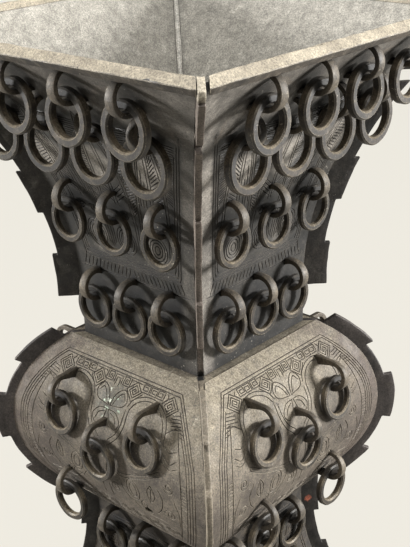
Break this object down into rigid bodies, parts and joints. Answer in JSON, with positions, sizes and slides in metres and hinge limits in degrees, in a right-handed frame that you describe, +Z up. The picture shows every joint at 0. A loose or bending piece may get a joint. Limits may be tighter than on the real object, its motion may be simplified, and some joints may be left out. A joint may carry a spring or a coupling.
{
  "type": "gu vessel",
  "caption": "Tall square bronze gu vessel: flaring neck, rounded belly and flaring foot with toothed corner flanges, and rows of loose rings hung in hooked straps on every face.",
  "frame": {"origin": "middle of the square foot on the plane it stands on", "axes": "+Z up through the mouth, +X out of the right face, -Y out of the front face"},
  "size_m": [0.2504, 0.2504, 0.472],
  "materials": {
    "dark_bronze": "dark patina",
    "grey_bronze": "grey-brown patina",
    "pale_bronze": "worn pale edge",
    "worn_bronze": "rubbed patina"
  },
  "bodies": {
    "vessel": {"right_neck_panel": "dark_bronze", "back_neck_panel": "dark_bronze", "left_neck_panel": "dark_bronze", "front_neck_panel": "dark_bronze", "right_belly_panel": "grey_bronze", "back_belly_panel": "grey_bronze", "left_belly_panel": "grey_bronze", "front_belly_panel": "grey_bronze", "right_foot_panel": "dark_bronze", "back_foot_panel": "dark_bronze", "left_foot_panel": "dark_bronze", "front_foot_panel": "dark_bronze", "neck_flanges": "dark_bronze", "belly_flanges": "dark_bronze", "foot_flanges": "dark_bronze", "neck_straps": "worn_bronze", "belly_straps": "worn_bronze", "foot_straps": "worn_bronze", "mouth_lips": "pale_bronze", "cup_floor": "grey_bronze"},
    "right_neck_rings_top": {"right_neck_rings_top": "worn_bronze"},
    "back_neck_rings_top": {"back_neck_rings_top": "worn_bronze"},
    "left_neck_rings_top": {"left_neck_rings_top": "worn_bronze"},
    "front_neck_rings_top": {"front_neck_rings_top": "worn_bronze"},
    "right_neck_rings_second": {"right_neck_rings_second": "worn_bronze"},
    "back_neck_rings_second": {"back_neck_rings_second": "worn_bronze"},
    "left_neck_rings_second": {"left_neck_rings_second": "worn_bronze"},
    "front_neck_rings_second": {"front_neck_rings_second": "worn_bronze"},
    "right_neck_rings_third": {"right_neck_rings_third": "worn_bronze"},
    "back_neck_rings_third": {"back_neck_rings_third": "worn_bronze"},
    "left_neck_rings_third": {"left_neck_rings_third": "worn_bronze"},
    "front_neck_rings_third": {"front_neck_rings_third": "worn_bronze"},
    "right_neck_rings_bottom": {"right_neck_rings_bottom": "worn_bronze"},
    "back_neck_rings_bottom": {"back_neck_rings_bottom": "worn_bronze"},
    "left_neck_rings_bottom": {"left_neck_rings_bottom": "worn_bronze"},
    "front_neck_rings_bottom": {"front_neck_rings_bottom": "worn_bronze"},
    "right_belly_rings_upper": {"right_belly_rings_upper": "worn_bronze"},
    "back_belly_rings_upper": {"back_belly_rings_upper": "worn_bronze"},
    "left_belly_rings_upper": {"left_belly_rings_upper": "worn_bronze"},
    "front_belly_rings_upper": {"front_belly_rings_upper": "worn_bronze"},
    "right_belly_ring_middle": {"right_belly_ring_middle": "worn_bronze"},
    "back_belly_ring_middle": {"back_belly_ring_middle": "worn_bronze"},
    "left_belly_ring_middle": {"left_belly_ring_middle": "worn_bronze"},
    "front_belly_ring_middle": {"front_belly_ring_middle": "worn_bronze"},
    "right_belly_rings_lower": {"right_belly_rings_lower": "worn_bronze"},
    "back_belly_rings_lower": {"back_belly_rings_lower": "worn_bronze"},
    "left_belly_rings_lower": {"left_belly_rings_lower": "worn_bronze"},
    "front_belly_rings_lower": {"front_belly_rings_lower": "worn_bronze"},
    "right_foot_rings_top": {"right_foot_rings_top": "worn_bronze"},
    "back_foot_rings_top": {"back_foot_rings_top": "worn_bronze"},
    "left_foot_rings_top": {"left_foot_rings_top": "worn_bronze"},
    "front_foot_rings_top": {"front_foot_rings_top": "worn_bronze"},
    "right_foot_rings_middle": {"right_foot_rings_middle": "worn_bronze"},
    "back_foot_rings_middle": {"back_foot_rings_middle": "worn_bronze"},
    "left_foot_rings_middle": {"left_foot_rings_middle": "worn_bronze"},
    "front_foot_rings_middle": {"front_foot_rings_middle": "worn_bronze"},
    "right_foot_rings_bottom": {"right_foot_rings_bottom": "worn_bronze"},
    "back_foot_rings_bottom": {"back_foot_rings_bottom": "worn_bronze"},
    "left_foot_rings_bottom": {"left_foot_rings_bottom": "worn_bronze"},
    "front_foot_rings_bottom": {"front_foot_rings_bottom": "worn_bronze"}
  },
  "joints": [
    {"name": "right_neck_rings_top_hinge", "type": "hinge", "parent": "vessel", "child": "right_neck_rings_top", "pos_m": [0.11095, 0, 0.4498], "axis": [0, -1, 0], "range_deg": [-4, 60]},
    {"name": "back_neck_rings_top_hinge", "type": "hinge", "parent": "vessel", "child": "back_neck_rings_top", "pos_m": [0, 0.11095, 0.4498], "axis": [1, 0, 0], "range_deg": [-4, 60]},
    {"name": "left_neck_rings_top_hinge", "type": "hinge", "parent": "vessel", "child": "left_neck_rings_top", "pos_m": [-0.11095, 0, 0.4498], "axis": [0, 1, 0], "range_deg": [-4, 60]},
    {"name": "front_neck_rings_top_hinge", "type": "hinge", "parent": "vessel", "child": "front_neck_rings_top", "pos_m": [0, -0.11095, 0.4498], "axis": [-1, 0, 0], "range_deg": [-4, 60]},
    {"name": "right_neck_rings_second_hinge", "type": "hinge", "parent": "vessel", "child": "right_neck_rings_second", "pos_m": [0.09348, 0, 0.4268], "axis": [0, -1, 0], "range_deg": [-10, 35]},
    {"name": "back_neck_rings_second_hinge", "type": "hinge", "parent": "vessel", "child": "back_neck_rings_second", "pos_m": [0, 0.09348, 0.4268], "axis": [1, 0, 0], "range_deg": [-10, 35]},
    {"name": "left_neck_rings_second_hinge", "type": "hinge", "parent": "vessel", "child": "left_neck_rings_second", "pos_m": [-0.09348, 0, 0.4268], "axis": [0, 1, 0], "range_deg": [-10, 35]},
    {"name": "front_neck_rings_second_hinge", "type": "hinge", "parent": "vessel", "child": "front_neck_rings_second", "pos_m": [0, -0.09348, 0.4268], "axis": [-1, 0, 0], "range_deg": [-10, 35]},
    {"name": "right_neck_rings_third_hinge", "type": "hinge", "parent": "vessel", "child": "right_neck_rings_third", "pos_m": [0.06588, 0, 0.36815], "axis": [0, -1, 0], "range_deg": [-12, 60]},
    {"name": "back_neck_rings_third_hinge", "type": "hinge", "parent": "vessel", "child": "back_neck_rings_third", "pos_m": [0, 0.06588, 0.36815], "axis": [1, 0, 0], "range_deg": [-12, 60]},
    {"name": "left_neck_rings_third_hinge", "type": "hinge", "parent": "vessel", "child": "left_neck_rings_third", "pos_m": [-0.06588, 0, 0.36815], "axis": [0, 1, 0], "range_deg": [-12, 60]},
    {"name": "front_neck_rings_third_hinge", "type": "hinge", "parent": "vessel", "child": "front_neck_rings_third", "pos_m": [0, -0.06588, 0.36815], "axis": [-1, 0, 0], "range_deg": [-12, 60]},
    {"name": "right_neck_rings_bottom_hinge", "type": "hinge", "parent": "vessel", "child": "right_neck_rings_bottom", "pos_m": [0.05629, 0, 0.3095], "axis": [0, -1, 0], "range_deg": [-3, 60]},
    {"name": "back_neck_rings_bottom_hinge", "type": "hinge", "parent": "vessel", "child": "back_neck_rings_bottom", "pos_m": [0, 0.05629, 0.3095], "axis": [1, 0, 0], "range_deg": [-3, 60]},
    {"name": "left_neck_rings_bottom_hinge", "type": "hinge", "parent": "vessel", "child": "left_neck_rings_bottom", "pos_m": [-0.05629, 0, 0.3095], "axis": [0, 1, 0], "range_deg": [-3, 60]},
    {"name": "front_neck_rings_bottom_hinge", "type": "hinge", "parent": "vessel", "child": "front_neck_rings_bottom", "pos_m": [0, -0.05629, 0.3095], "axis": [-1, 0, 0], "range_deg": [-3, 60]},
    {"name": "right_belly_rings_upper_hinge", "type": "hinge", "parent": "vessel", "child": "right_belly_rings_upper", "pos_m": [0.08516, 0, 0.24644], "axis": [0, -1, 0], "range_deg": [0, 60]},
    {"name": "back_belly_rings_upper_hinge", "type": "hinge", "parent": "vessel", "child": "back_belly_rings_upper", "pos_m": [0, 0.08516, 0.24644], "axis": [1, 0, 0], "range_deg": [0, 60]},
    {"name": "left_belly_rings_upper_hinge", "type": "hinge", "parent": "vessel", "child": "left_belly_rings_upper", "pos_m": [-0.08516, 0, 0.24644], "axis": [0, 1, 0], "range_deg": [0, 60]},
    {"name": "front_belly_rings_upper_hinge", "type": "hinge", "parent": "vessel", "child": "front_belly_rings_upper", "pos_m": [0, -0.08516, 0.24644], "axis": [-1, 0, 0], "range_deg": [0, 60]},
    {"name": "right_belly_ring_middle_hinge", "type": "hinge", "parent": "vessel", "child": "right_belly_ring_middle", "pos_m": [0.09089, 0, 0.22825], "axis": [0, -1, 0], "range_deg": [-2, 60]},
    {"name": "back_belly_ring_middle_hinge", "type": "hinge", "parent": "vessel", "child": "back_belly_ring_middle", "pos_m": [0, 0.09089, 0.22825], "axis": [1, 0, 0], "range_deg": [-2, 60]},
    {"name": "left_belly_ring_middle_hinge", "type": "hinge", "parent": "vessel", "child": "left_belly_ring_middle", "pos_m": [-0.09089, 0, 0.22825], "axis": [0, 1, 0], "range_deg": [-2, 60]},
    {"name": "front_belly_ring_middle_hinge", "type": "hinge", "parent": "vessel", "child": "front_belly_ring_middle", "pos_m": [0, -0.09089, 0.22825], "axis": [-1, 0, 0], "range_deg": [-2, 60]},
    {"name": "right_belly_rings_lower_hinge", "type": "hinge", "parent": "vessel", "child": "right_belly_rings_lower", "pos_m": [0.08487, 0, 0.18094], "axis": [0, -1, 0], "range_deg": [-30, 60]},
    {"name": "back_belly_rings_lower_hinge", "type": "hinge", "parent": "vessel", "child": "back_belly_rings_lower", "pos_m": [0, 0.08487, 0.18094], "axis": [1, 0, 0], "range_deg": [-30, 60]},
    {"name": "left_belly_rings_lower_hinge", "type": "hinge", "parent": "vessel", "child": "left_belly_rings_lower", "pos_m": [-0.08487, 0, 0.18094], "axis": [0, 1, 0], "range_deg": [-30, 60]},
    {"name": "front_belly_rings_lower_hinge", "type": "hinge", "parent": "vessel", "child": "front_belly_rings_lower", "pos_m": [0, -0.08487, 0.18094], "axis": [-1, 0, 0], "range_deg": [-30, 60]},
    {"name": "right_foot_rings_top_hinge", "type": "hinge", "parent": "vessel", "child": "right_foot_rings_top", "pos_m": [0.05632, 0, 0.136], "axis": [0, -1, 0], "range_deg": [0, 60]},
    {"name": "back_foot_rings_top_hinge", "type": "hinge", "parent": "vessel", "child": "back_foot_rings_top", "pos_m": [0, 0.05632, 0.136], "axis": [1, 0, 0], "range_deg": [0, 60]},
    {"name": "left_foot_rings_top_hinge", "type": "hinge", "parent": "vessel", "child": "left_foot_rings_top", "pos_m": [-0.05632, 0, 0.136], "axis": [0, 1, 0], "range_deg": [0, 60]},
    {"name": "front_foot_rings_top_hinge", "type": "hinge", "parent": "vessel", "child": "front_foot_rings_top", "pos_m": [0, -0.05632, 0.136], "axis": [-1, 0, 0], "range_deg": [0, 60]},
    {"name": "right_foot_rings_middle_hinge", "type": "hinge", "parent": "vessel", "child": "right_foot_rings_middle", "pos_m": [0.06172, 0, 0.0955], "axis": [0, -1, 0], "range_deg": [0, 60]},
    {"name": "back_foot_rings_middle_hinge", "type": "hinge", "parent": "vessel", "child": "back_foot_rings_middle", "pos_m": [0, 0.06172, 0.0955], "axis": [1, 0, 0], "range_deg": [0, 60]},
    {"name": "left_foot_rings_middle_hinge", "type": "hinge", "parent": "vessel", "child": "left_foot_rings_middle", "pos_m": [-0.06172, 0, 0.0955], "axis": [0, 1, 0], "range_deg": [0, 60]},
    {"name": "front_foot_rings_middle_hinge", "type": "hinge", "parent": "vessel", "child": "front_foot_rings_middle", "pos_m": [0, -0.06172, 0.0955], "axis": [-1, 0, 0], "range_deg": [0, 60]},
    {"name": "right_foot_rings_bottom_hinge", "type": "hinge", "parent": "vessel", "child": "right_foot_rings_bottom", "pos_m": [0.07582, 0, 0.055], "axis": [0, -1, 0], "range_deg": [0, 60]},
    {"name": "back_foot_rings_bottom_hinge", "type": "hinge", "parent": "vessel", "child": "back_foot_rings_bottom", "pos_m": [0, 0.07582, 0.055], "axis": [1, 0, 0], "range_deg": [0, 60]},
    {"name": "left_foot_rings_bottom_hinge", "type": "hinge", "parent": "vessel", "child": "left_foot_rings_bottom", "pos_m": [-0.07582, 0, 0.055], "axis": [0, 1, 0], "range_deg": [0, 60]},
    {"name": "front_foot_rings_bottom_hinge", "type": "hinge", "parent": "vessel", "child": "front_foot_rings_bottom", "pos_m": [0, -0.07582, 0.055], "axis": [-1, 0, 0], "range_deg": [0, 60]}
  ]
}
